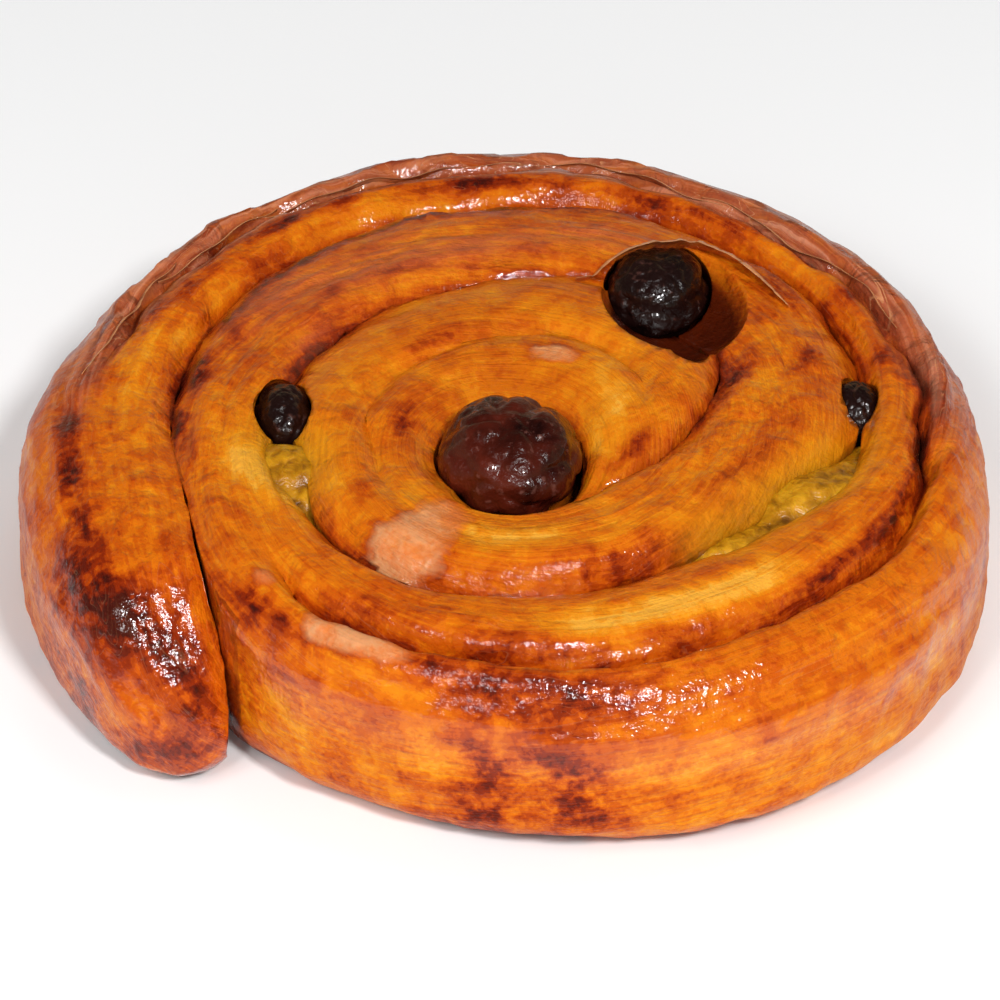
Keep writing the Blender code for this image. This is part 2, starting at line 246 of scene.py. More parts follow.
def strip_sections():
    """Radius and height of every point, one row for each cut across the strip."""
    turn = strip_turns()[:, None]
    inner = edge_radius(turn) + SLOT_TOP + well_half(turn)
    wall = outer_turn(turn)
    outer = edge_radius(turn - 360.0) - (SLOT_TOP + well_half(turn - 360.0)) * (1.0 - wall)
    nose = rounded_end(turn, TAIL_NOSE)
    middle = inner + (outer - inner) * TAIL_NOSE_SIDE
    inner_foot = middle + (edge_radius(turn) + SLOT_LOW - middle) * nose
    inner = middle + (inner - middle) * nose
    outer = middle + (outer - middle) * nose
    groove = groove_share(turn, outer - inner)
    flank = groove * cosine_steps(FLANK_ROWS)[None, :]
    lip = groove + (1.0 - groove) * cosine_steps(LIP_ROWS)[None, 1:]
    share = np.hstack([flank, lip])
    top_radius = inner + (outer - inner) * share
    top = top_height(turn, share, top_radius, inner + (outer - inner) * groove)

    rise = (np.arange(INNER_ROWS) / INNER_ROWS)[None, :]
    inner_height = FOOT_LIFT + (top[:, :1] - FOOT_LIFT) * rise
    inner_radius = inner_foot + (inner - inner_foot) * rise ** SLOT_CURVE

    fall = (np.arange(1, OUTER_ROWS + 1) / OUTER_ROWS)[None, :]
    outer_height = top[:, -1:] + (FOOT_LIFT - top[:, -1:]) * fall
    bulge = WALL_BULGE * (1.0 - (2.0 * (fall - WALL_FULLEST)) ** 2)
    foot = FOOT_INSET * (np.maximum(fall - 1.0 + FOOT_SHARE, 0.0) / FOOT_SHARE) ** FOOT_CURVE
    wall_radius = outer + nose * (bulge - foot)
    outer_foot = outer - (SLOT_LOW - SLOT_TOP)
    inside_radius = outer_foot + (outer - outer_foot) * (1.0 - fall) ** SLOT_CURVE
    outer_radius = wall * wall_radius + (1.0 - wall) * inside_radius

    across = (np.arange(1, BOTTOM_ROWS + 1) / (BOTTOM_ROWS + 1))[None, :]
    bottom_radius = outer_radius[:, -1:] + (inner_radius[:, :1] - outer_radius[:, -1:]) * across
    pad = np.minimum(4.0 * across, 4.0 * (1.0 - across)).clip(0.0, 1.0)
    bottom_height = FOOT_LIFT + (FLOOR_CLEAR - FOOT_LIFT) * pad + 0.0 * turn

    radius = np.hstack([inner_radius, top_radius, outer_radius, bottom_radius])
    height = np.hstack([inner_height, top, outer_height, bottom_height])
    height = TAIL_MIDDLE + (height - TAIL_MIDDLE) * rounded_end(turn, TAIL_TIP)
    return turn, radius, height


def ring_mesh(name, points):
    """A closed body from rings of points in mm, one row for each, shut at both ends."""
    points = points * MM
    steps, count = points.shape[:2]
    index = np.arange(steps * count).reshape(steps, count)
    after = np.roll(index, -1, axis=1)
    quads = np.stack([index[:-1], after[:-1], after[1:], index[1:]], axis=-1).reshape(-1, 4)
    faces = [tuple(quad) for quad in quads.tolist()]
    faces.append(tuple(index[0].tolist()))
    faces.append(tuple(reversed(index[-1].tolist())))
    mesh = bpy.data.meshes.new(name)
    mesh.from_pydata(points.reshape(-1, 3).tolist(), [], faces)
    bm = bmesh.new()
    bm.from_mesh(mesh)
    bmesh.ops.triangulate(bm, faces=[face for face in bm.faces if len(face.verts) > 4])
    bmesh.ops.recalc_face_normals(bm, faces=bm.faces)
    bm.to_mesh(mesh)
    bm.free()
    return mesh


def spiral_mesh(name, turn, radius, height, shift):
    x, y = polar_point(turn, radius)
    return ring_mesh(name, np.stack([x + shift[0], y + shift[1], height], axis=-1))


def add_piece(name, mesh, material):
    mesh.materials.clear()
    mesh.materials.append(material)
    mesh.shade_smooth()
    piece = bpy.data.objects.new(name, mesh)
    bpy.context.scene.collection.objects.link(piece)
    return piece


def mesh_points(mesh):
    """Every point of a mesh in mm, measured from the middle of the spiral."""
    points = np.empty(len(mesh.vertices) * 3, dtype=np.float32)
    mesh.vertices.foreach_get("co", points)
    points = points.reshape(-1, 3).astype(float) / MM
    points[:, 0] -= spiral_middle[0]
    points[:, 1] -= spiral_middle[1]
    return points


def write_value(mesh, name, values):
    old = mesh.attributes.get(name)
    if old is not None:
        mesh.attributes.remove(old)
    layer = mesh.attributes.new(name, "FLOAT", "POINT")
    layer.data.foreach_set("value", np.asarray(values, dtype=np.float32))


def strip_place(points):
    """Winding angle, share across the strip and width of the turn at each point."""
    x, y = points[:, 0], points[:, 1]
    radius = np.hypot(x, y)
    first = (END_ANGLE - np.degrees(np.arctan2(y, x))) % 360.0
    turn = first.copy()
    for lap in (1, 2):
        inside = radius < edge_radius(turn)
        further = first + 360.0 * lap
        turn = np.where(inside & (further < STRIP_END + 40.0), further, turn)
    tail = (first > 357.0) & (radius > edge_radius(first - 360.0) + 1.3)
    turn = np.where(tail, first - 360.0, turn)
    inner = edge_radius(turn)
    width = np.maximum(edge_radius(turn - 360.0) - inner, 1.0)
    return turn, (radius - inner) / width, width, radius


def node(tree, kind, links=(), **settings):
    """Add a node, set its properties, and link or set its inputs by name or number."""
    item = tree.nodes.new(kind)
    for key, value in settings.items():
        setattr(item, key, value)
    for key, value in dict(links).items():
        if isinstance(value, bpy.types.NodeSocket):
            tree.links.new(value, item.inputs[key])
        else:
            item.inputs[key].default_value = value
    return item


def math_node(tree, operation, *values, clamp=False):
    links = dict(enumerate(values))
    return node(tree, "ShaderNodeMath", links, operation=operation, use_clamp=clamp).outputs[0]


def plus(tree, *values):
    total = values[0]
    for value in values[1:]:
        total = math_node(tree, "ADD", total, value)
    return total


def times(tree, *values):
    total = values[0]
    for value in values[1:]:
        total = math_node(tree, "MULTIPLY", total, value)
    return total


def noise_node(tree, vector, scale, detail=3.0, distortion=0.0):
    links = {"Vector": vector, "Scale": scale, "Detail": detail, "Distortion": distortion}
    return node(tree, "ShaderNodeTexNoise", links).outputs[0]


def cell_node(tree, vector, scale):
    """Distance from the middle of the nearest of many round cells."""
    links = {"Vector": vector, "Scale": scale}
    return node(tree, "ShaderNodeTexVoronoi", links, feature="SMOOTH_F1").outputs["Distance"]


def centred(tree, value, amount):
    """Noise about 0.5 made to swing about 0, by an amount."""
    return times(tree, math_node(tree, "SUBTRACT", value, 0.5), amount)


def start_tree(name, inputs):
    """A geometry tree with named number inputs. Returns it with its group input node."""
    tree = bpy.data.node_groups.new(name, "GeometryNodeTree")
    tree.interface.new_socket(name="Geometry", in_out="INPUT", socket_type="NodeSocketGeometry")
    tree.interface.new_socket(name="Geometry", in_out="OUTPUT", socket_type="NodeSocketGeometry")
    for label in inputs:
        tree.interface.new_socket(name=label, in_out="INPUT", socket_type="NodeSocketFloat")
    return tree, node(tree, "NodeGroupInput")


def end_tree(tree, geometry, material):
    real = node(tree, "GeometryNodeRealizeInstances", {"Geometry": geometry})
    painted = node(tree, "GeometryNodeSetMaterial", {
        "Geometry": real.outputs[0], "Material": material})
    node(tree, "NodeGroupOutput", {"Geometry": painted.outputs[0]})


def applied(piece, change):
    """The mesh of a piece with a modifier applied, which is then taken off."""
    graph = bpy.context.evaluated_depsgraph_get()
    mesh = bpy.data.meshes.new_from_object(piece.evaluated_get(graph))
    piece.modifiers.remove(change)
    return mesh


def run_tree(piece, tree, values):
    """The mesh of a piece after a geometry tree with its inputs set."""
    change = piece.modifiers.new(tree.name, "NODES")
    change.node_group = tree
    for item in tree.interface.items_tree:
        if item.in_out == "INPUT" and item.name in values:
            change[item.identifier] = values[item.name]
    return applied(piece, change)


def named_value(tree, name):
    kind = "GeometryNodeInputNamedAttribute"
    return node(tree, kind, {"Name": name}, data_type="FLOAT").outputs[0]


def push_out(tree, geometry, reach):
    """Move every point along its normal."""
    normal = node(tree, "GeometryNodeInputNormal").outputs[0]
    links = {0: normal, "Scale": reach}
    shift = node(tree, "ShaderNodeVectorMath", links, operation="SCALE").outputs[0]
    return node(tree, "GeometryNodeSetPosition", {"Geometry": geometry, "Offset": shift}).outputs[0]


def relief_tree(material):
    """Baked relief: broad swelling, long ridges of the layers, steps of flakes, blisters."""
    labels = ("Swell depth", "Swell size", "Ridge depth", "Ridge length", "Ridge width",
              "Flake depth", "Blister depth", "Blister size")
    tree, group = start_tree("baked relief", labels)
    size = group.outputs
    place = node(tree, "GeometryNodeInputPosition").outputs[0]
    swell = noise_node(tree, place, math_node(tree, "DIVIDE", 1.0, size["Swell size"]), 2.0)
    along = math_node(tree, "DIVIDE", named_value(tree, "along"), size["Ridge length"])
    across = math_node(tree, "DIVIDE", named_value(tree, "across"), size["Ridge width"])
    strip = node(tree, "ShaderNodeCombineXYZ", {0: along, 1: across}).outputs[0]
    ridge = noise_node(tree, strip, 1.0, 2.0, 0.6)
    ridge_depth = times(tree, size["Ridge depth"], named_value(tree, "layered"))
    flake = noise_node(tree, strip, 0.6, 1.0, 1.2)
    steps = math_node(tree, "FLOOR", times(tree, flake, 9.0))
    steps = times(tree, math_node(tree, "SUBTRACT", steps, 4.0), size["Flake depth"])
    blister = cell_node(tree, place, math_node(tree, "DIVIDE", 1.0, size["Blister size"]))
    dome = math_node(tree, "SUBTRACT", 0.30, blister)
    dome = times(tree, dome, times(tree, size["Blister depth"], named_value(tree, "blistered")))
    total = plus(tree,
                 centred(tree, swell, size["Swell depth"]),
                 centred(tree, ridge, ridge_depth),
                 times(tree, steps, named_value(tree, "flaky")),
                 dome)
    total = times(tree, total, named_value(tree, "open"))
    end_tree(tree, push_out(tree, group.outputs["Geometry"], total), material)
    return tree


# Bake marks on the top of the strip: winding angle, share across, half length and half
# breadth in mm, and how much darker than golden the dough is there.
SCORCHED = (
    (73, 0.41, 2.0, 0.8, 0.36), (82, 0.33, 2.8, 1.3, 0.26), (92, 0.44, 2.6, 0.7, 0.36),
    (97, 0.34, 2.6, 0.8, 0.40), (101, 0.36, 1.8, 0.8, 0.50), (108, 0.32, 2.2, 0.7, 0.38),
    (114, 0.42, 3.0, 0.8, 0.48), (127, 0.25, 4.6, 1.0, 0.60), (137, 0.20, 2.0, 0.8, 0.36),
    (149, 0.17, 3.4, 1.0, 0.44), (160, 0.17, 3.4, 0.8, 0.32), (168, 0.30, 3.0, 0.7, 0.30),
    (175, 0.39, 1.4, 1.2, 0.46), (183, 0.31, 1.0, 1.0, 0.42), (198, 0.25, 2.2, 1.4, 0.48),
    (203, 0.53, 2.2, 1.4, 0.46), (209, 0.64, 3.2, 1.0, 0.44), (219, 0.52, 3.8, 0.5, 0.66),
    (234, 0.55, 4.8, 0.45, 0.66), (251, 0.54, 4.8, 0.45, 0.60), (498, 0.84, 6.0, 0.9, 0.56),
    (487, 0.82, 4.2, 0.9, 0.56), (477, 0.80, 4.2, 0.9, 0.56), (468, 0.80, 3.8, 0.9, 0.56),
    (457, 0.80, 3.6, 0.9, 0.58), (447, 0.80, 3.8, 1.0, 0.60), (438, 0.86, 2.2, 1.1, 0.66),
    (424, 0.87, 2.8, 1.4, 0.60), (410, 0.94, 2.6, 1.1, 0.42), (404, 0.96, 2.4, 1.4, 0.28),
    (455, 0.31, 2.0, 0.7, 0.36), (469, 0.24, 3.0, 0.8, 0.38), (435, 0.05, 2.6, 0.8, 0.34),
    (826, 0.55, 2.8, 0.8, 0.34), (786, 0.25, 2.8, 0.9, 0.38), (733, 0.70, 1.9, 1.2, 0.30),
    (47, 0.68, 2.6, 1.2, 0.58), (37, 0.69, 3.2, 1.2, 0.62), (27, 0.69, 3.0, 1.0, 0.34),
    (32, 0.93, 3.0, 1.2, 0.24), (494, 0.22, 3.0, 0.8, 0.26), (555, 0.67, 1.2, 1.3, 0.46),
    (554, 0.11, 2.2, 1.5, 0.42), (569, 0.05, 2.6, 1.1, 0.30), (940, 0.60, 2.0, 0.9, 0.36),
    (541, 0.77, 3.6, 0.8, 0.36), (528, 0.80, 3.2, 0.7, 0.34), (645, 0.88, 4.8, 1.3, 0.26),
    (620, 0.85, 5.2, 1.2, 0.26), (603, 0.92, 3.0, 0.9, 0.26), (245, 0.36, 2.2, 0.8, 0.26),
    (238, 0.23, 1.8, 0.6, 0.30), (313, 0.55, 5.0, 0.9, 0.24), (297, 0.55, 3.8, 1.0, 0.20),
    (280, 0.52, 3.8, 1.0, 0.22), (266, 0.52, 3.4, 0.8, 0.20), (359, 0.87, 1.8, 1.1, 0.52),
    (352, 0.88, 1.2, 0.8, 0.42), (325, 0.80, 1.8, 0.9, 0.40), (341, 0.51, 3.4, 2.0, 0.22),
    (316, 0.84, 2.6, 1.9, 0.32), (306, 0.88, 4.6, 1.6, 0.40), (296, 0.84, 4.0, 1.2, 0.24),
    (5, 0.49, 2.4, 1.8, 0.42), (0, 0.45, 1.8, 1.6, 0.34), (12, 0.73, 3.0, 1.9, 0.42),
    (21, 0.82, 3.8, 2.2, 0.44), (14, 0.94, 3.0, 2.2, 0.26), (58, 0.62, 3.0, 1.0, 0.26),
    (590, 0.60, 4.0, 1.0, 0.20), (515, 0.12, 4.0, 0.8, 0.20), (433, 0.61, 2.6, 1.5, 0.26),
    (419, 0.76, 2.8, 1.0, 0.26), (440, 0.03, 2.2, 0.9, 0.34), (770, 0.22, 1.6, 1.0, 0.30),
    (10, 0.76, 1.8, 1.2, 0.26), (18, 0.95, 3.4, 1.2, 0.08),
)
# The same on the wall: winding angle, height in mm, half length, half height, darker by.
WALL_SCORCHED = (
    (315, 8.4, 2.6, 2.6, 0.32), (308, 13.0, 3.0, 1.8, 0.36), (302, 11.2, 3.0, 1.9, 0.32),
    (315, 4.4, 3.2, 1.4, 0.36), (302, 7.4, 3.6, 2.6, 0.46), (288, 12.0, 1.4, 1.2, 0.30),
    (279, 11.4, 3.0, 1.2, 0.24), (296, 4.6, 2.6, 1.1, 0.32), (257, 9.9, 1.6, 1.2, 0.20),
    (338, 3.8, 2.4, 1.2, 0.22), (325, 7.3, 2.0, 1.0, 0.24), (322, 2.6, 3.0, 1.2, 0.28),
    (318, 12.4, 2.4, 1.6, 0.26), (262, 4.0, 3.0, 1.2, 0.14), (240, 7.0, 1.6, 3.0, 0.22),
    (3, 4.1, 2.8, 1.8, 0.34), (15, 6.8, 3.0, 2.0, 0.28), (30, 5.0, 6.0, 3.0, 0.22),
    (48, 10.0, 7.0, 2.0, 0.20), (66, 5.0, 8.0, 2.4, 0.18), (90, 9.0, 12.0, 2.4, 0.24),
    (112, 4.0, 6.0, 1.8, 0.22), (130, 9.0, 10.0, 2.6, 0.24), (152, 5.0, 7.0, 2.0, 0.22),
    (172, 10.0, 9.0, 2.0, 0.22), (190, 4.0, 6.0, 2.0, 0.18), (208, 9.0, 7.0, 2.2, 0.18),
    (222, 4.0, 4.0, 1.6, 0.16),
)
# Paler stretches that the heat reached last, in the same terms as the first list.
PALE = (
    (294, 0.40, 4.8, 1.6, 0.36), (278, 0.37, 5.0, 1.6, 0.42), (261, 0.40, 5.0, 1.6, 0.34),
    (395, 0.42, 3.0, 1.8, 0.34), (386, 0.14, 3.2, 2.4, 0.34), (407, 0.66, 3.4, 2.2, 0.16),
    (63, 0.26, 3.0, 1.5, 0.20), (54, 0.30, 3.0, 1.6, 0.18), (118, 0.06, 7.0, 1.2, 0.16),
    (666, 0.57, 4.4, 1.5, 0.28), (901, 0.31, 3.4, 2.0, 0.14), (919, 0.20, 3.0, 1.8, 0.16),
    (889, 0.61, 4.0, 2.0, 0.12), (560, 0.34, 4.0, 1.6, 0.14), (170, 0.12, 6.0, 1.2, 0.12),
    (715, 0.40, 3.0, 1.8, 0.12), (238, 0.10, 4.0, 1.4, 0.14), (684, 0.50, 2.4, 1.7, 0.09),
    (660, 0.50, 3.2, 1.7, 0.09), (84, 0.04, 2.2, 1.6, 0.18), (392, 0.37, 1.4, 1.1, 0.28),
    (739, 0.78, 2.4, 1.1, 0.28), (655, 0.80, 5.0, 1.6, 0.08),
)
# Smooth patches where the glaze dried in a film, its peach colour a painted sheen.
SHEEN_FILM = (
    (360, 0.72, 1.7, 1.1, 0.9), (344, 0.78, 3.0, 1.4, 0.95), (333, 0.79, 3.8, 1.1, 0.95),
    (704, 0.87, 3.8, 2.8, 0.95), (700, 0.46, 3.1, 2.8, 0.95), (869, 0.30, 2.6, 1.3, 1.0),
    (878, 0.80, 1.0, 0.8, 0.9),
)
# Stretches of crust with a painted pink sheen, a reflection of the glaze put into the colour.
PINK_SHEEN = (
    (466, 0.38, 8.0, 2.4, 0.70), (447, 0.60, 6.0, 2.2, 0.65), (488, 0.32, 7.0, 1.7, 0.65),
    (506, 0.46, 6.0, 1.8, 0.60), (478, 0.66, 7.0, 1.2, 0.50), (49, 0.92, 7.0, 1.4, 0.35),
    (191, 0.56, 10.0, 1.9, 0.40), (520, 0.30, 6.0, 1.4, 0.40), (440, 0.10, 3.0, 1.0, 0.45),
)
# Stretches where little glaze took.
DULL = ((668, 0.90, 13.0, 2.4, 0.75),)
# Where the brown rind of the lip begins: winding angle and share across the strip.
RIND_TURN = (60, 75, 100, 127, 140, 165, 185, 205)
RIND_SHARE = (0.52, 0.45, 0.42, 0.36, 0.30, 0.30, 0.42, 0.60)
GOLDEN = 0.40
# The turns over which the outer turn, its baked lip and the valley beside the loose end
# begin or end, and the depths in mm under the crest over which light and glaze fade.
OUTER_ENDS = (358.0, 364.0)
BACK_SPAN = (40.0, 70.0, 200.0, 225.0)
VALLEY_SPAN = (330.0, 345.0, 395.0, 420.0)
VALLEY_TAIL = (38.0, 62.0)
VALLEY_LIGHT = 0.85
WALL_DEPTH = (0.5, 3.0)
SHADE_DEPTH = (0.5, 2.4)
RIND_DEPTH = (0.6, 2.6)
GLAZE_DEPTH = (2.5, 5.5)


def marked(turn, radius, level, scale, marks):
    """Sum of soft marks, each at a winding angle and a level on the top or the wall."""
    total = np.zeros_like(turn)
    for at, middle, length, breadth, strength in marks:
        along = (turn - at) * math.pi / 180.0 * radius / length
        across = (level - middle) * scale / breadth
        total += strength * np.exp(-(along ** 2 + across ** 2))
    return total


def measure_strip(mesh):
    """Write where each point lies on the strip, how it was baked there, and where shade and sheen are
    painted.
    """
    points = mesh_points(mesh)
    turn, share, width, radius = strip_place(points)
    height = points[:, 2]
    groove = groove_share(turn, width)
    top = top_height(turn, np.clip(share, 0.0, 1.0), radius, edge_radius(turn) + width * groove)
    below = top - height
    # The wall, the lip, the valley beside the loose end, and painted shade where no light reaches.
    outer = fade(*OUTER_ENDS, turn)
    outside = outer * np.maximum(smooth_step(0.55, 0.8, share), fade(-1.0, 5.0, turn))
    wall = outside * smooth_step(*WALL_DEPTH, below)
    flat = 1.0 - wall
    valley = within(VALLEY_SPAN, turn) * (share > 0.5)
    valley = np.maximum(valley, fade(*VALLEY_TAIL, turn) * (share < 0.5))
    # Painted shade: dark deep under the top inside the roll, kept lighter in the valley beside the loose
    # end.
    painted_shade = smooth_step(*SHADE_DEPTH, below) * (1.0 - outside) * (1.0 - VALLEY_LIGHT * valley)
    lip = outer * smooth_step(-0.06, 0.04, share - groove) * flat
    back = within(BACK_SPAN, turn)
    rind = smooth_step(-0.03, 0.03, share - np.interp(turn, RIND_TURN, RIND_SHARE)) * outer
    rind *= fade(*RIND_DEPTH, crest_height(turn, radius) - height)

    # How dark it baked: more on the lip, less on the wall. The darkening in the creases and deep under
    # the top is painted shade.
    def marks(places):
        return marked(turn, radius, share, width, places)

    bake = GOLDEN - marks(PALE) - 0.05 * smooth_step(560.0, 620.0, turn)
    bake += 0.10 * lip * back + 0.08 * fade(10.0, 34.0, turn)
    # Painted shade: darker the deeper a point lies under the top, inside the roll.
    bake += 0.12 * smooth_step(0.6, 2.4, below) * (1.0 - outside) - 0.08 * wall
    # Painted shade along the creases between the turns, lighter in the valley beside the loose end.
    crease = np.exp(-((1.0 - share) * width / 0.8) ** 2) * (1.0 - outer)
    crease += np.exp(-(share * width / 0.6) ** 2)
    bake += 0.24 * crease * (1.0 - 0.8 * valley) + 0.16 * fade(0.0, 2.4, height)

    # The glaze was brushed on from above, and little of it reached the wall.
    low = outside * smooth_step(*GLAZE_DEPTH, below)
    glaze = 1.0 - 0.88 * low * fade(0.0, 40.0, 40.0 - turn)
    rim = outer * smooth_step(0.55, 0.9, share) * smooth_step(10.0, 30.0, turn)
    glaze *= 1.0 - 0.75 * rim * fade(215.0, 250.0, turn)
    near = well_half(turn) * np.exp(-(share * width / 3.0) ** 2)
    near += well_half(turn - 360.0) * np.exp(-((1.0 - share) * width / 3.0) ** 2)
    for name, values in (
        ("along", np.radians(turn) * radius),
        ("across", share * width + outside * below),
        ("offset", radius - edge_radius(turn) - width * groove),
        ("lip", lip_shown(turn) * flat),
        ("wall", wall),
        ("inside", painted_shade),
        ("open", (1.0 - painted_shade) * smooth_step(0.0, 1.2, height)),
        ("flaky", np.clip(0.45 + 0.55 * lip * back, 0.0, 1.0) * (1.0 - 0.8 * wall)),
        ("blistered", 0.35 + 0.65 * wall),
        ("layered", 1.0 - 0.75 * smooth_step(600.0, 760.0, turn) - 0.7 * wall),
        ("bake", bake),
        ("scorch", marks(SCORCHED) + wall * marked(turn, radius, height, 1.0, WALL_SCORCHED)),
        ("sheen_film", marks(SHEEN_FILM) * flat),
        ("pink_sheen", marks(PINK_SHEEN) * flat),
        ("rind", rind * back),
        ("glaze", glaze * (1.0 - np.minimum(marks(DULL), 1.0))),
        ("creamy", np.clip(near, 0.0, 1.0)),
        ("torn", np.zeros_like(turn)),
    ):
        write_value(mesh, name, values)


def base_material(name, roughness):
    material = bpy.data.materials.new(name)
    material.use_nodes = True
    tree = material.node_tree
    shader = tree.nodes["Principled BSDF"]
    shader.inputs["Roughness"].default_value = roughness
    return material, tree, shader


def set_inputs(shader, values):
    for name, value in values.items():
        shader.inputs[name].default_value = value


def ramp_node(tree, value, stops):
    item = node(tree, "ShaderNodeValToRGB", {0: value})
    ramp = item.color_ramp
    ramp.elements[0].position, ramp.elements[0].color = stops[0][0], stops[0][1] + (1.0,)
    ramp.elements[1].position, ramp.elements[1].color = stops[-1][0], stops[-1][1] + (1.0,)
    for place, colour in stops[1:-1]:
        ramp.elements.new(place).color = colour + (1.0,)
    return item.outputs[0]


def mix_colour(tree, share, first, second):
    links = {0: share, 6: first, 7: second}
    return node(tree, "ShaderNodeMix", links, data_type="RGBA").outputs[2]


def attribute(tree, name):
    return node(tree, "ShaderNodeAttribute", attribute_name=name).outputs["Fac"]


def between(tree, value, low, high, first=0.0, last=1.0):
    """Stretch a range of a value to another range, held at its ends."""
    links = {"Value": value, "From Min": low, "From Max": high, "To Min": first, "To Max": last}
    return node(tree, "ShaderNodeMapRange", links).outputs[0]


def add_bump(tree, socket, height, strength, depth):
    bump = node(tree, "ShaderNodeBump", {"Strength": strength, "Distance": depth, "Height": height})
    tree.links.new(bump.outputs[0], socket)


# How fine the crust's patterns are: waves per metre, and per mm along and across the strip.
PATCH_FINE = 170.0
MOTTLE_FINE = 620.0
FLECK_FINE = 900.0
BUBBLE_FINE = 1100.0
SPECK_FINE = 2400.0
STREAK_FINE = (0.16, 1.1)
FLAKE_FINE = (0.13, 0.36)
CRUMB_FINE = (0.75, 1.7)
RIND_FINE = (0.05, 1.5)
FLAKE_STEPS = 13.0
SHEETS = 8.0
# The crust's colours: the steps of its browning, and the casts and edges over it: painted sheens of the
# glaze, pale edges with painted highlights, and painted shade in the creases.
BROWNING = (
    (0.00, (0.79, 0.35, 0.034)), (0.16, (0.71, 0.230, 0.006)), (0.36, (0.61, 0.138, 0.003)),
    (0.54, (0.46, 0.066, 0.002)), (0.70, (0.25, 0.021, 0.0015)), (0.86, (0.115, 0.008, 0.002)),
    (1.00, (0.050, 0.005, 0.003)),
)
RIND_BROWNS_AND_HIGHLIGHTS = (
    (0.36, (0.17, 0.026, 0.012)), (0.50, (0.34, 0.092, 0.042)), (0.62, (0.52, 0.205, 0.115)),
)
PEACH_SHEEN = (
    (0.34, (0.60, 0.145, 0.035)), (0.50, (0.71, 0.235, 0.070)), (0.66, (0.78, 0.38, 0.16)),
)
PINK_SHEEN_COLOUR = (0.44, 0.098, 0.038, 1.0)
CREAMY_CRUST = (0.62, 0.265, 0.005, 1.0)
FLAKE_EDGE_HIGHLIGHT = (0.64, 0.29, 0.13, 1.0)
TORN_CRUST = (0.66, 0.31, 0.13, 1.0)
CREASE_SHADE_COLOUR = (0.065, 0.007, 0.001, 1.0)


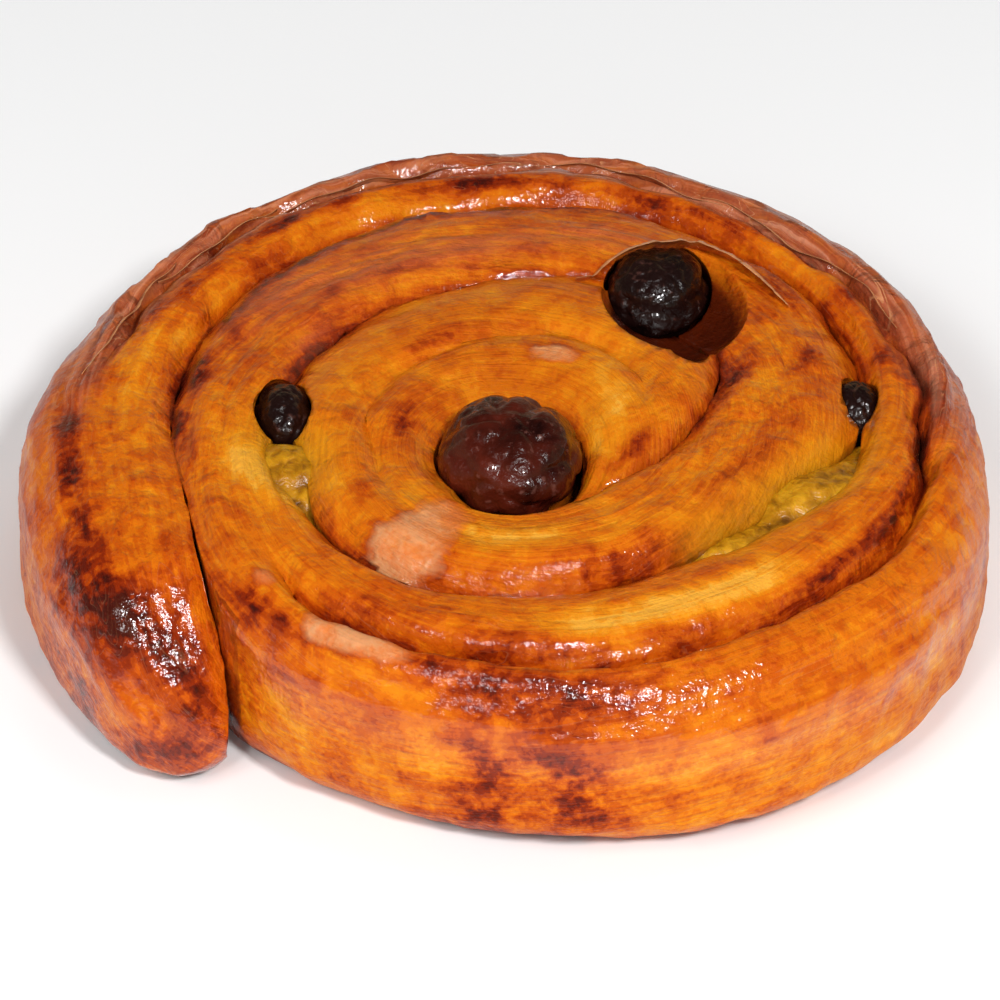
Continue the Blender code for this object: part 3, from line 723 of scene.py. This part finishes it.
def crust_material():
    material, tree, shader = base_material("glazed crust", 0.36)
    place = node(tree, "ShaderNodeTexCoord").outputs["Object"]
    along, across, wall = (attribute(tree, name) for name in ("along", "across", "wall"))

    def strip_noise(fine, detail, distortion):
        """Noise that follows the strip."""
        vector = node(tree, "ShaderNodeCombineXYZ", {
            0: times(tree, along, fine[0]), 1: times(tree, across, fine[1])}).outputs[0]
        return noise_node(tree, vector, 1.0, detail, distortion)

    streaks = strip_noise(STREAK_FINE, 4.0, 0.8)
    crumbs = strip_noise(CRUMB_FINE, 3.0, 0.9)
    crumbs = centred(tree, crumbs, plus(tree, 0.12, times(tree, wall, 0.32)))
    patches = noise_node(tree, place, PATCH_FINE, 4.0, 0.8)
    mottle = noise_node(tree, place, MOTTLE_FINE, 5.0, 0.4)
    specks = noise_node(tree, place, SPECK_FINE, 2.0)
    flakes = times(tree, strip_noise(FLAKE_FINE, 1.5, 1.0), FLAKE_STEPS)
    level = math_node(tree, "FLOOR", flakes)
    part_way = math_node(tree, "SUBTRACT", flakes, level)
    shown = between(tree, patches, 0.40, 0.56)
    flaky = times(tree, attribute(tree, "flaky"), shown)
    tint = node(tree, "ShaderNodeTexWhiteNoise", {"W": level}, noise_dimensions="1D").outputs[0]
    flecks = between(tree, noise_node(tree, place, FLECK_FINE, 4.0, 0.5), 0.40, 0.58, 0.58, 1.05)
    # The film's colour is a painted peach sheen of the glaze; its edge is a little darker.
    sheen_film = plus(tree, attribute(tree, "sheen_film"), centred(tree, mottle, 0.6), centred(tree, patches, 0.4))
    sheen_film_rim = between(tree, sheen_film, 0.26, 0.46, 0.0, 0.13)
    sheen_film = between(tree, sheen_film, 0.40, 0.72)
    bake = plus(tree,
                attribute(tree, "bake"),
                centred(tree, streaks, times(tree, attribute(tree, "layered"), 0.46)),
                centred(tree, patches, plus(tree, 0.52, times(tree, wall, 0.4))),
                centred(tree, mottle, 0.50),
                centred(tree, specks, plus(tree, 0.20, times(tree, wall, 0.25))),
                times(tree, centred(tree, tint, 0.20), flaky),
                crumbs,
                times(tree, attribute(tree, "scorch"), flecks),
                sheen_film_rim)

    # Dark line where the lip folds away from the flank, broken here and there.
    seam = plus(tree, attribute(tree, "offset"), centred(tree, streaks, 0.8), 0.25)
    seam = math_node(tree, "DIVIDE", seam, 0.34)
    seam = math_node(tree, "EXPONENT", times(tree, seam, seam, -1.0))
    seam = times(tree, seam, attribute(tree, "lip"), patches, 0.55)
    bake = plus(tree, bake, seam)

    # Sheets of crust one over the other give the browning its hard edges.
    sheets = times(tree, bake, SHEETS)
    sheet = math_node(tree, "FLOOR", sheets)
    edge = between(tree, math_node(tree, "SUBTRACT", sheets, sheet), 0.36, 0.64)
    layered = math_node(tree, "DIVIDE", plus(tree, sheet, edge), SHEETS)
    bake = plus(tree, times(tree, bake, 0.45), times(tree, layered, 0.55))
    colour = ramp_node(tree, bake, BROWNING)
    # The brown rind of the lip; its pale pink lines are painted highlights along its layers.
    rind = times(tree, attribute(tree, "rind"), plus(tree, streaks, 0.25))
    rind_colour = ramp_node(tree, strip_noise(RIND_FINE, 4.0, 0.7), RIND_BROWNS_AND_HIGHLIGHTS)
    colour = mix_colour(tree, rind, colour, rind_colour)
    # Painted pink sheen of the glaze over the back of the turns.
    pink_sheen = plus(tree, 0.8, centred(tree, streaks, 2.2))
    pink_sheen = math_node(tree, "MULTIPLY", attribute(tree, "pink_sheen"), pink_sheen, clamp=True)
    colour = mix_colour(tree, pink_sheen, colour, PINK_SHEEN_COLOUR)
    colour = mix_colour(tree, times(tree, attribute(tree, "creamy"), 0.8), colour, CREAMY_CRUST)

    # Thin torn edges of the layers, a pale line where the flakes step down, partly a painted highlight on
    # the edge.
    torn = between(tree, part_way, 0.0, 0.10, 1.0, 0.0)
    torn = times(tree, torn, flaky, plus(tree, 0.32, times(tree, rind, 0.6)))
    colour = mix_colour(tree, torn, colour, FLAKE_EDGE_HIGHLIGHT)
    # Painted peach sheen over the patches of glaze film.
    peach_sheen_colour = ramp_node(tree, plus(tree, patches, centred(tree, specks, 0.3)), PEACH_SHEEN)
    colour = mix_colour(tree, times(tree, sheen_film, 0.66), colour, peach_sheen_colour)
    colour = mix_colour(tree, attribute(tree, "torn"), colour, TORN_CRUST)
    # Painted shade deep in the creases and hollows.
    colour = mix_colour(tree, attribute(tree, "inside"), colour, CREASE_SHADE_COLOUR)
    tree.links.new(colour, shader.inputs["Base Color"])

    # A dry crust under a thin coat of glaze that ran together into bubbles.
    tree.links.new(between(tree, mottle, 0.0, 1.0, 0.3, 0.55), shader.inputs["Roughness"])
    tree.links.new(times(tree, attribute(tree, "glaze"), 0.9), shader.inputs["Coat Weight"])
    set_inputs(shader, {
        "Specular IOR Level": 0.10, "Specular Tint": (1.0, 0.62, 0.3, 1.0),
        "Subsurface Weight": 0.1, "Subsurface Radius": (1.0, 0.35, 0.08),
        "Subsurface Scale": 0.0014, "Coat Roughness": 0.10, "Coat IOR": 1.42})
    bubble = math_node(tree, "SUBTRACT", 0.5, cell_node(tree, place, BUBBLE_FINE))
    bubble = times(tree, bubble, shown)
    height = plus(tree, centred(tree, mottle, 0.9), centred(tree, streaks, 0.6),
                  centred(tree, specks, 0.35), times(tree, bubble, 0.5), times(tree, sheen_film, 0.25),
                  times(tree, crumbs, 2.0), times(tree, level, flaky, 0.22))
    add_bump(tree, shader.inputs["Normal"], height, 0.7, 0.4 * MM)
    sparkle = plus(tree, centred(tree, specks, 0.7), centred(tree, mottle, 1.2), times(tree, bubble, 0.8))
    add_bump(tree, shader.inputs["Coat Normal"], sparkle, 0.4, 0.25 * MM)
    return material


turn, radius, height = strip_sections()
edge_x, edge_y = polar_point(turn, radius)
dough_low, dough_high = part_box("dough")
spiral_middle = (
    0.5 * (dough_low[0] + dough_high[0]) / MM - 0.5 * (edge_x.min() + edge_x.max()),
    0.5 * (dough_low[1] + dough_high[1]) / MM - 0.5 * (edge_y.min() + edge_y.max()),
)
crust = crust_material()
strip = add_piece("strip", spiral_mesh("strip", turn, radius, height, spiral_middle), crust)
measure_strip(strip.data)
relief = relief_tree(crust)
RELIEF = {
    "Swell depth": 1.1 * MM, "Swell size": 7.5 * MM,
    "Ridge depth": 0.85 * MM, "Ridge length": 12.0, "Ridge width": 1.5,
    "Flake depth": 0.15 * MM, "Blister depth": 0.22 * MM, "Blister size": 1.8 * MM,
}
strip.data = run_tree(strip, relief, RELIEF)

# The raisins
# Four plump raisins that came to the surface: skin shrunk into wrinkles, dark and
# glossy with syrup. Each sits in the hollow that it pressed into the dough. Measures:
# middle from the middle of the spiral, half sizes, all in mm, and turn in degrees.
RAISINS = {
    "raisin_centre": (-0.1, -0.7, 17.3, 6.5, 6.7, 4.9, 20.0),
    "raisin_back": (12.9, 25.2, 15.6, 4.8, 5.3, 4.2, -30.0),
    "raisin_left": (-19.7, 6.0, 16.2, 2.7, 3.9, 3.2, 8.0),
    "raisin_right": (29.9, 9.0, 14.4, 2.7, 3.3, 3.1, 15.0),
}
# Splits and open mouths of the hollows, in the same terms.
SPLIT = (14.4, 20.8, 19.6, 6.6, 8.8, 5.4, 10.0)
SPLIT_CORNER = (8.0, 24.4, 19.6, 4.0, 2.2, 2.6, -12.0)
SPLIT_TIP = (15.4, 14.0, 18.8, 2.0, 3.2, 3.0, 4.0)
LEFT_MOUTH = (-19.7, 4.7, 18.2, 2.6, 3.4, 2.6, 8.0)
FRONT_MOUTH = (0.2, -5.2, 19.8, 6.2, 5.0, 4.6, 0.0)
RAISIN_GAP = 0.12
SKIN_INSET = -0.15
SKIN_RINGS = 64
HOLLOW_RINGS = 28
WRINKLE_DEPTH = 0.075
WRINKLE_SIZE = 0.85
CRUMPLE_SHARE = 0.45
CRUMPLE_FINER = 2.6
DUST = (0.26, 0.10, 0.075, 1.0)


def raisin_mesh(name, measures, grow, fine):
    """An egg shape turned about its height, wrinkled if fine, else the hollow for it."""
    x, y, z, half_x, half_y, half_z, angle = measures
    bm = bmesh.new()
    rings = SKIN_RINGS if fine else HOLLOW_RINGS
    bmesh.ops.create_uvsphere(bm, u_segments=rings * 3 // 2, v_segments=rings, radius=1.0)
    spin = math.radians(angle)
    half = Vector((half_x, half_y, half_z))
    middle = Vector((x + spiral_middle[0], y + spiral_middle[1], z))
    seed = Vector((x, y, z))
    fine_scale = 1.0 / (WRINKLE_SIZE * half_x)
    for vert in bm.verts:
        outward = vert.co.normalized()
        point = vert.co * half
        shift = grow
        if fine:
            fold = abs(noise.noise(point * fine_scale + seed))
            crumple = abs(noise.noise(point * CRUMPLE_FINER * fine_scale + seed))
            shift -= WRINKLE_DEPTH * half_x * (1.0 - min(fold * 3.0, 1.0))
            shift -= CRUMPLE_SHARE * WRINKLE_DEPTH * half_x * (1.0 - min(crumple * 4.0, 1.0))
        point += outward * shift
        turned_x = point.x * math.cos(spin) - point.y * math.sin(spin)
        turned_y = point.x * math.sin(spin) + point.y * math.cos(spin)
        vert.co = (Vector((turned_x, turned_y, point.z)) + middle) * MM
    mesh = bpy.data.meshes.new(name)
    bm.to_mesh(mesh)
    bm.free()
    return mesh


def press_in(piece, hollows):
    """Cut the hollows out of a piece."""
    group = bpy.data.collections.new("hollows")
    cutters = []
    for index, (measures, grow) in enumerate(hollows):
        cutter = add_piece("hollow_%d" % index, raisin_mesh("hollow", measures, grow, False), crust)
        bpy.context.scene.collection.objects.unlink(cutter)
        group.objects.link(cutter)
        cutters.append(cutter)
    change = piece.modifiers.new("hollows", "BOOLEAN")
    change.operation = "DIFFERENCE"
    change.operand_type = "COLLECTION"
    change.collection = group
    change.solver = "MANIFOLD"
    mesh = applied(piece, change)
    for cutter in cutters:
        bpy.data.objects.remove(cutter, do_unlink=True)
    bpy.data.collections.remove(group)
    return mesh


def raisin_material(name, dark, light, dusty):
    """Dark skin, lighter and duller on the folds where syrup dried on it."""
    material, tree, shader = base_material(name, 0.22)
    place = node(tree, "ShaderNodeTexCoord").outputs["Object"]
    cloud = noise_node(tree, place, 230.0, 4.0, 0.5)
    grain = noise_node(tree, place, 1500.0, 3.0)
    colour = ramp_node(tree, cloud, ((0.3, dark), (0.72, light)))
    dust = times(tree, between(tree, grain, 0.60, 0.72), dusty)
    tree.links.new(mix_colour(tree, dust, colour, DUST), shader.inputs["Base Color"])
    tree.links.new(between(tree, cloud, 0.0, 1.0, 0.16, 0.42), shader.inputs["Roughness"])
    set_inputs(shader, {"Specular IOR Level": 0.3, "Coat Weight": 0.5, "Coat Roughness": 0.06})
    add_bump(tree, shader.inputs["Normal"], grain, 0.6, 0.4 * MM)
    return material


def lip_course(start, end, outward):
    """A course in plan along the lip of the outer turn, a little outward of its seam."""
    turn = np.linspace(start, end, max(int((end - start) / 5.0), 3))
    inner = edge_radius(turn)
    width = edge_radius(turn - 360.0) - inner
    radius = inner + width * groove_share(turn, width) + outward
    return np.stack(polar_point(turn, radius), axis=-1)


# Torn edges of crust that stand up: points in plan from the middle of the spiral in mm,
# how far the edge stands up, how far it leans to the left of its course, and its paleness.
FLAPS = (
    (((5.6, 24.4), (8.6, 26.6), (12.6, 28.6), (16.6, 28.9), (20.2, 27.0), (22.6, 23.8), (24.6, 20.0)),
     1.7, -1.6, 0.8),
    (lip_course(58, 84, 0.9), 0.3, -0.5, 0.6), (lip_course(80, 101, 0.7), 0.35, -0.5, 0.6),
    (lip_course(98, 133, 0.7), 0.35, -0.5, 0.6), (lip_course(130, 158, 0.7), 0.35, -0.5, 0.6),
    (lip_course(155, 192, 0.7), 0.35, -0.5, 0.5),
)
CORE_RADIUS = 7.0
CORE_BOTTOM = 0.1
CORE_TOP = 12.6
FLAP_THICK = 0.14
FLAP_ROOT = 0.5
FLAP_ROWS = 6
FLAP_BEND = 1.3
FLAP_BROWNER = 0.12


def surface_height(x, y):
    points = np.stack([x, y, 0.0 * x], axis=-1)
    turn, share, width, radius = strip_place(points)
    groove = edge_radius(turn) + width * groove_share(turn, width)
    return top_height(turn, np.clip(share, 0.0, 1.0), radius, groove)


def curve_through(points, step):
    """A smooth path through given points, sampled evenly enough."""
    points = np.array(points, dtype=float)
    ends = np.vstack([2.0 * points[0] - points[1], points, 2.0 * points[-1] - points[-2]])
    path = []
    for k in range(1, len(ends) - 2):
        count = max(int(np.linalg.norm(ends[k + 1] - ends[k]) / step), 1)
        path += [curve_point(*ends[k - 1:k + 3], t) for t in np.arange(count) / count]
    path.append(points[-1])
    return np.array(path)


def flap_mesh(course, rise, lean, pale):
    """A thin torn sheet of crust that stands on the surface along a course."""
    path = curve_through(course, 0.25)
    count = len(path)
    along = np.arange(count) / (count - 1)
    ease = np.sqrt(np.sin(np.pi * np.clip(along, 0.02, 0.98)))
    heading = np.gradient(path, axis=0)
    heading /= np.linalg.norm(heading, axis=1)[:, None]
    left = np.stack([-heading[:, 1], heading[:, 0]], axis=-1)
    ragged = np.array([noise.noise(Vector((k * 0.16, rise, lean))) for k in range(count)])
    ragged += 0.5 * np.array([noise.noise(Vector((k * 0.5, lean, rise))) for k in range(count)])
    reach = ease * (1.0 + 0.45 * ragged)
    ground = surface_height(path[:, 0], path[:, 1])
    up = np.linspace(0.0, 1.0, FLAP_ROWS)
    rows = np.concatenate([up, up[::-1]])
    side = np.concatenate([0.5 * np.ones(FLAP_ROWS), -0.5 * np.ones(FLAP_ROWS)])
    ring = np.empty((count, 2 * FLAP_ROWS, 3))
    for k, (share, face) in enumerate(zip(rows, side)):
        thick = FLAP_THICK * (1.0 - 0.6 * share) * face
        shift = (lean * share ** 1.6 * reach + thick)[:, None] * left
        ring[:, k, :2] = path + shift
        bent = math.sin(FLAP_BEND * share) / math.sin(FLAP_BEND)
        ring[:, k, 2] = ground - FLAP_ROOT + (FLAP_ROOT + rise * reach) * bent
    ring[:, :, 0] += spiral_middle[0]
    ring[:, :, 1] += spiral_middle[1]
    mesh = ring_mesh("flap", ring)
    measure_strip(mesh)
    for name in ("inside", "open", "sheen_film", "wall", "scorch"):
        write_value(mesh, name, np.zeros(len(mesh.vertices)))
    write_value(mesh, "bake", np.full(len(mesh.vertices), GOLDEN + FLAP_BROWNER))
    write_value(mesh, "torn", np.tile(pale * rows ** 2, count))
    return mesh


def plug_mesh():
    """The dough that baked together in the middle, under the raisin there."""
    bm = bmesh.new()
    bmesh.ops.create_cone(bm, cap_ends=True, cap_tris=True, segments=48, radius1=CORE_RADIUS * MM,
                          radius2=CORE_RADIUS * MM, depth=(CORE_TOP - CORE_BOTTOM) * MM)
    middle = Vector((spiral_middle[0], spiral_middle[1], 0.5 * (CORE_TOP + CORE_BOTTOM))) * MM
    bmesh.ops.translate(bm, verts=bm.verts, vec=middle)
    mesh = bpy.data.meshes.new("plug")
    bm.to_mesh(mesh)
    bm.free()
    measure_strip(mesh)
    return mesh


def join_meshes(name, meshes):
    """One piece from several meshes that carry the same values."""
    parts = [add_piece(name, mesh, crust) for mesh in meshes]
    with bpy.context.temp_override(active_object=parts[0], object=parts[0], selected_objects=parts,
                                   selected_editable_objects=parts):
        bpy.ops.object.join()
    return parts[0]


hollows = [(measures, RAISIN_GAP) for measures in RAISINS.values()]
hollows += [(mouth, 0.0) for mouth in (SPLIT, SPLIT_CORNER, SPLIT_TIP, LEFT_MOUTH, FRONT_MOUTH)]
strip.data = press_in(strip, hollows)
measure_strip(strip.data)
dough_crust = join_meshes("dough_crust", [strip.data, plug_mesh()] + [flap_mesh(*flap) for flap in FLAPS])
bpy.data.objects.remove(strip, do_unlink=True)
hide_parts("dough")
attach(dough_crust, "root")

dull_skin = raisin_material("dull raisin skin", (0.008, 0.0010, 0.0008), (0.098, 0.011, 0.004), 0.28)
wet_skin = raisin_material("wet raisin skin", (0.004, 0.0015, 0.0014), (0.014, 0.0036, 0.0028), 0.15)
for name, measures in RAISINS.items():
    skin = dull_skin if name == "raisin_centre" else wet_skin
    raisin = add_piece(name + "_skin", raisin_mesh(name, measures, SKIN_INSET, True), skin)
    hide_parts(name)
    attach(raisin, "root")

# The custard
# Baked custard between the turns, a sheet that wells up in the crease where it was
# spread thickest. It set soft and wet, with a curdled skin.
CUSTARD_THICK = 0.5
CUSTARD_START = 16.0
CUSTARD_END = 600.0
CUSTARD_BOTTOM = 2.8
CUSTARD_BELOW = 1.7
CUSTARD_SWELL = 0.5
CUSTARD_FILL = 0.9
CUSTARD_SPILL = 0.75
CUSTARD_ROWS = 15
CUSTARD_CLEAR = 0.02
CUSTARD_THINNEST = 0.03
CUSTARD_SHRINK = 0.6
CUSTARD_SIDE_ROWS = 5
CURD_YELLOWS = (
    (0.36, (0.13, 0.043, 0.001)), (0.47, (0.37, 0.148, 0.002)), (0.62, (0.62, 0.29, 0.008)),
)


def custard_sections():
    turn = strip_turns()
    turn = turn[(turn > CUSTARD_START) & (turn < CUSTARD_END)][:, None]
    crease = edge_radius(turn)
    foot = 0.5 * CUSTARD_THICK
    well = well_half(turn) / max(0.5 * extra for _, _, extra in WELLS)
    half = np.maximum(well_half(turn) - CUSTARD_CLEAR, 0.0) + CUSTARD_THINNEST
    half = half + CUSTARD_SPILL * np.minimum(2.0 * well, 1.0)
    shoulder = crest_height(turn, crease) - crease_depth(turn)
    top = shoulder - CUSTARD_BELOW * (1.0 - well) + CUSTARD_FILL * well
    share = cosine_steps(CUSTARD_ROWS)[None, :]
    side = 2.0 * share - 1.0
    top_radius = crease + half * side
    top_level = top + CUSTARD_SWELL * well * (1.0 - side ** 2)
    left = crease - foot
    right = crease + foot
    steps = (np.arange(CUSTARD_SIDE_ROWS) / CUSTARD_SIDE_ROWS)[None, :]
    left_height = CUSTARD_BOTTOM + (top - CUSTARD_BOTTOM) * steps
    left_radius = left + (crease - half - left) * steps ** SLOT_CURVE
    right_height = (top + (CUSTARD_BOTTOM - top) * (1.0 - steps))[:, ::-1]
    right_radius = (right + (crease + half - right) * steps ** SLOT_CURVE)[:, ::-1]
    radius = np.hstack([left_radius, top_radius, right_radius])
    height = np.hstack([left_height, top_level, right_height])
    return turn, radius, height


def custard_material():
    material, tree, shader = base_material("baked custard", 0.3)
    place = node(tree, "ShaderNodeTexCoord").outputs["Object"]
    curd = noise_node(tree, place, 900.0, 4.0, 0.4)
    cloud = noise_node(tree, place, 300.0, 2.0)
    colour = ramp_node(tree, times(tree, plus(tree, curd, cloud), 0.5), CURD_YELLOWS)
    tree.links.new(colour, shader.inputs["Base Color"])
    set_inputs(shader, {
        "Subsurface Weight": 0.25, "Subsurface Radius": (1.0, 0.6, 0.15), "Subsurface Scale": 0.0015,
        "Coat Weight": 0.7, "Coat Roughness": 0.1})
    add_bump(tree, shader.inputs["Normal"], curd, 0.8, 0.5 * MM)
    return material


def lump_tree(material):
    """Curds: round lumps pushed out along the normals where the layer shows."""
    tree, group = start_tree("curds", ("Lump depth", "Lump size"))
    place = node(tree, "GeometryNodeInputPosition").outputs[0]
    scale = math_node(tree, "DIVIDE", 1.0, group.outputs["Lump size"])
    lump = math_node(tree, "SUBTRACT", 0.4, cell_node(tree, place, scale))
    lump = times(tree, lump, group.outputs["Lump depth"])
    end_tree(tree, push_out(tree, group.outputs["Geometry"], lump), material)
    return tree


cream = custard_material()
turn, radius, height = custard_sections()
custard = add_piece("custard_layer", spiral_mesh("custard", turn, radius, height, spiral_middle), cream)
custard.data = run_tree(custard, lump_tree(cream), {"Lump depth": 0.7 * MM, "Lump size": 1.2 * MM})
wider = [(measures, grow + CUSTARD_SHRINK) for measures, grow in hollows]
custard.data = press_in(custard, wider)
custard.data.materials.clear()
custard.data.materials.append(cream)
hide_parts("custard")
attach(custard, "root")

# The studio
# A pale floor, a bright plain surround, and soft lights in front of the roll.
CAMERA_HEIGHT = math.radians(38.0)
CAMERA_DISTANCE = 0.450
PIXELS_PER_MM = 11.7
PHOTO_WIDTH = 1000.0
SENSOR = 36.0
AIM_HEIGHT = 17.0 * MM
AIM_PIXEL = (512.0, 455.0)
FLOOR_REACH = 3.0
SURROUND_POWER = 0.75

floor_mesh = bpy.data.meshes.new("floor")
corners = [(FLOOR_REACH * x, FLOOR_REACH * y, 0.0) for x, y in ((-1, -1), (1, -1), (1, 1), (-1, 1))]
floor_mesh.from_pydata(corners, [], [(0, 1, 2, 3)])
floor_paint, _, floor_shader = base_material("pale floor", 0.7)
floor_shader.inputs["Base Color"].default_value = (0.94, 0.94, 0.94, 1.0)
floor = add_piece("floor", floor_mesh, floor_paint)

aim = Vector((spiral_middle[0] * MM, spiral_middle[1] * MM, AIM_HEIGHT))
towards = Vector((0.0, -math.cos(CAMERA_HEIGHT), math.sin(CAMERA_HEIGHT)))
camera_data = bpy.data.cameras.new("camera")
camera_data.sensor_width = SENSOR
camera_data.lens = SENSOR * PIXELS_PER_MM * CAMERA_DISTANCE / MM / PHOTO_WIDTH
camera_data.shift_x = (0.5 * PHOTO_WIDTH - AIM_PIXEL[0]) / PHOTO_WIDTH
camera_data.shift_y = (AIM_PIXEL[1] - 0.5 * PHOTO_WIDTH) / PHOTO_WIDTH
camera_data.clip_start = 0.01
camera = bpy.data.objects.new("camera", camera_data)
camera.location = aim + towards * CAMERA_DISTANCE
camera.rotation_euler = towards.to_track_quat("Z", "Y").to_euler()
bpy.context.scene.collection.objects.link(camera)
bpy.context.scene.camera = camera

# Soft boxes: bearing from the camera's side, height angle, distance, size, power, and
# whether the glaze mirrors it.
SOFT_BOXES = (
    ("key", 24.0, 47.0, 0.60, 0.10, 2.5, True),
    ("fill", -42.0, 48.0, 0.60, 0.34, 1.2, False),
    ("front", 0.0, 16.0, 0.75, 0.50, 0.7, False),
    ("top", 150.0, 66.0, 0.70, 0.40, 0.7, False),
    ("window", -24.0, 44.0, 0.70, 0.12, 0.8, True),
)
for name, bearing, lift, distance, size, power, mirrored in SOFT_BOXES:
    light = bpy.data.lights.new(name, "AREA")
    light.shape = "DISK"
    light.size = size
    light.energy = power
    lamp = bpy.data.objects.new(name, light)
    side = math.radians(bearing)
    rise = math.radians(lift)
    away = Vector((math.sin(side) * math.cos(rise), -math.cos(side) * math.cos(rise), math.sin(rise)))
    lamp.location = aim + away * distance
    lamp.rotation_euler = away.to_track_quat("Z", "Y").to_euler()
    lamp.visible_glossy = mirrored
    bpy.context.scene.collection.objects.link(lamp)

# The surround is white low down and dark overhead, like a backdrop in a dim room.
world = bpy.data.worlds.new("surround")
world.use_nodes = True
sky = world.node_tree
direction = node(sky, "ShaderNodeTexCoord").outputs["Generated"]
lift = node(sky, "ShaderNodeSeparateXYZ", {0: direction}).outputs[2]
white = ramp_node(sky, lift, (
    (0.0, (0.9, 0.9, 0.9)), (0.22, (0.8, 0.8, 0.8)), (0.5, (0.16, 0.16, 0.16)),
    (1.0, (0.14, 0.14, 0.14))))
# The glaze mirrors a dimmer, warmer room.
seen = ramp_node(sky, lift, (
    (0.0, (0.36, 0.29, 0.18)), (0.22, (0.34, 0.27, 0.17)), (0.5, (0.05, 0.045, 0.04)),
    (1.0, (0.04, 0.036, 0.032))))
mirrored_ray = node(sky, "ShaderNodeLightPath").outputs["Is Glossy Ray"]
glow = mix_colour(sky, mirrored_ray, white, seen)
sky.links.new(glow, sky.nodes["Background"].inputs[0])
sky.nodes["Background"].inputs[1].default_value = SURROUND_POWER
bpy.context.scene.world = world
bpy.context.scene.view_settings.view_transform = "Standard"
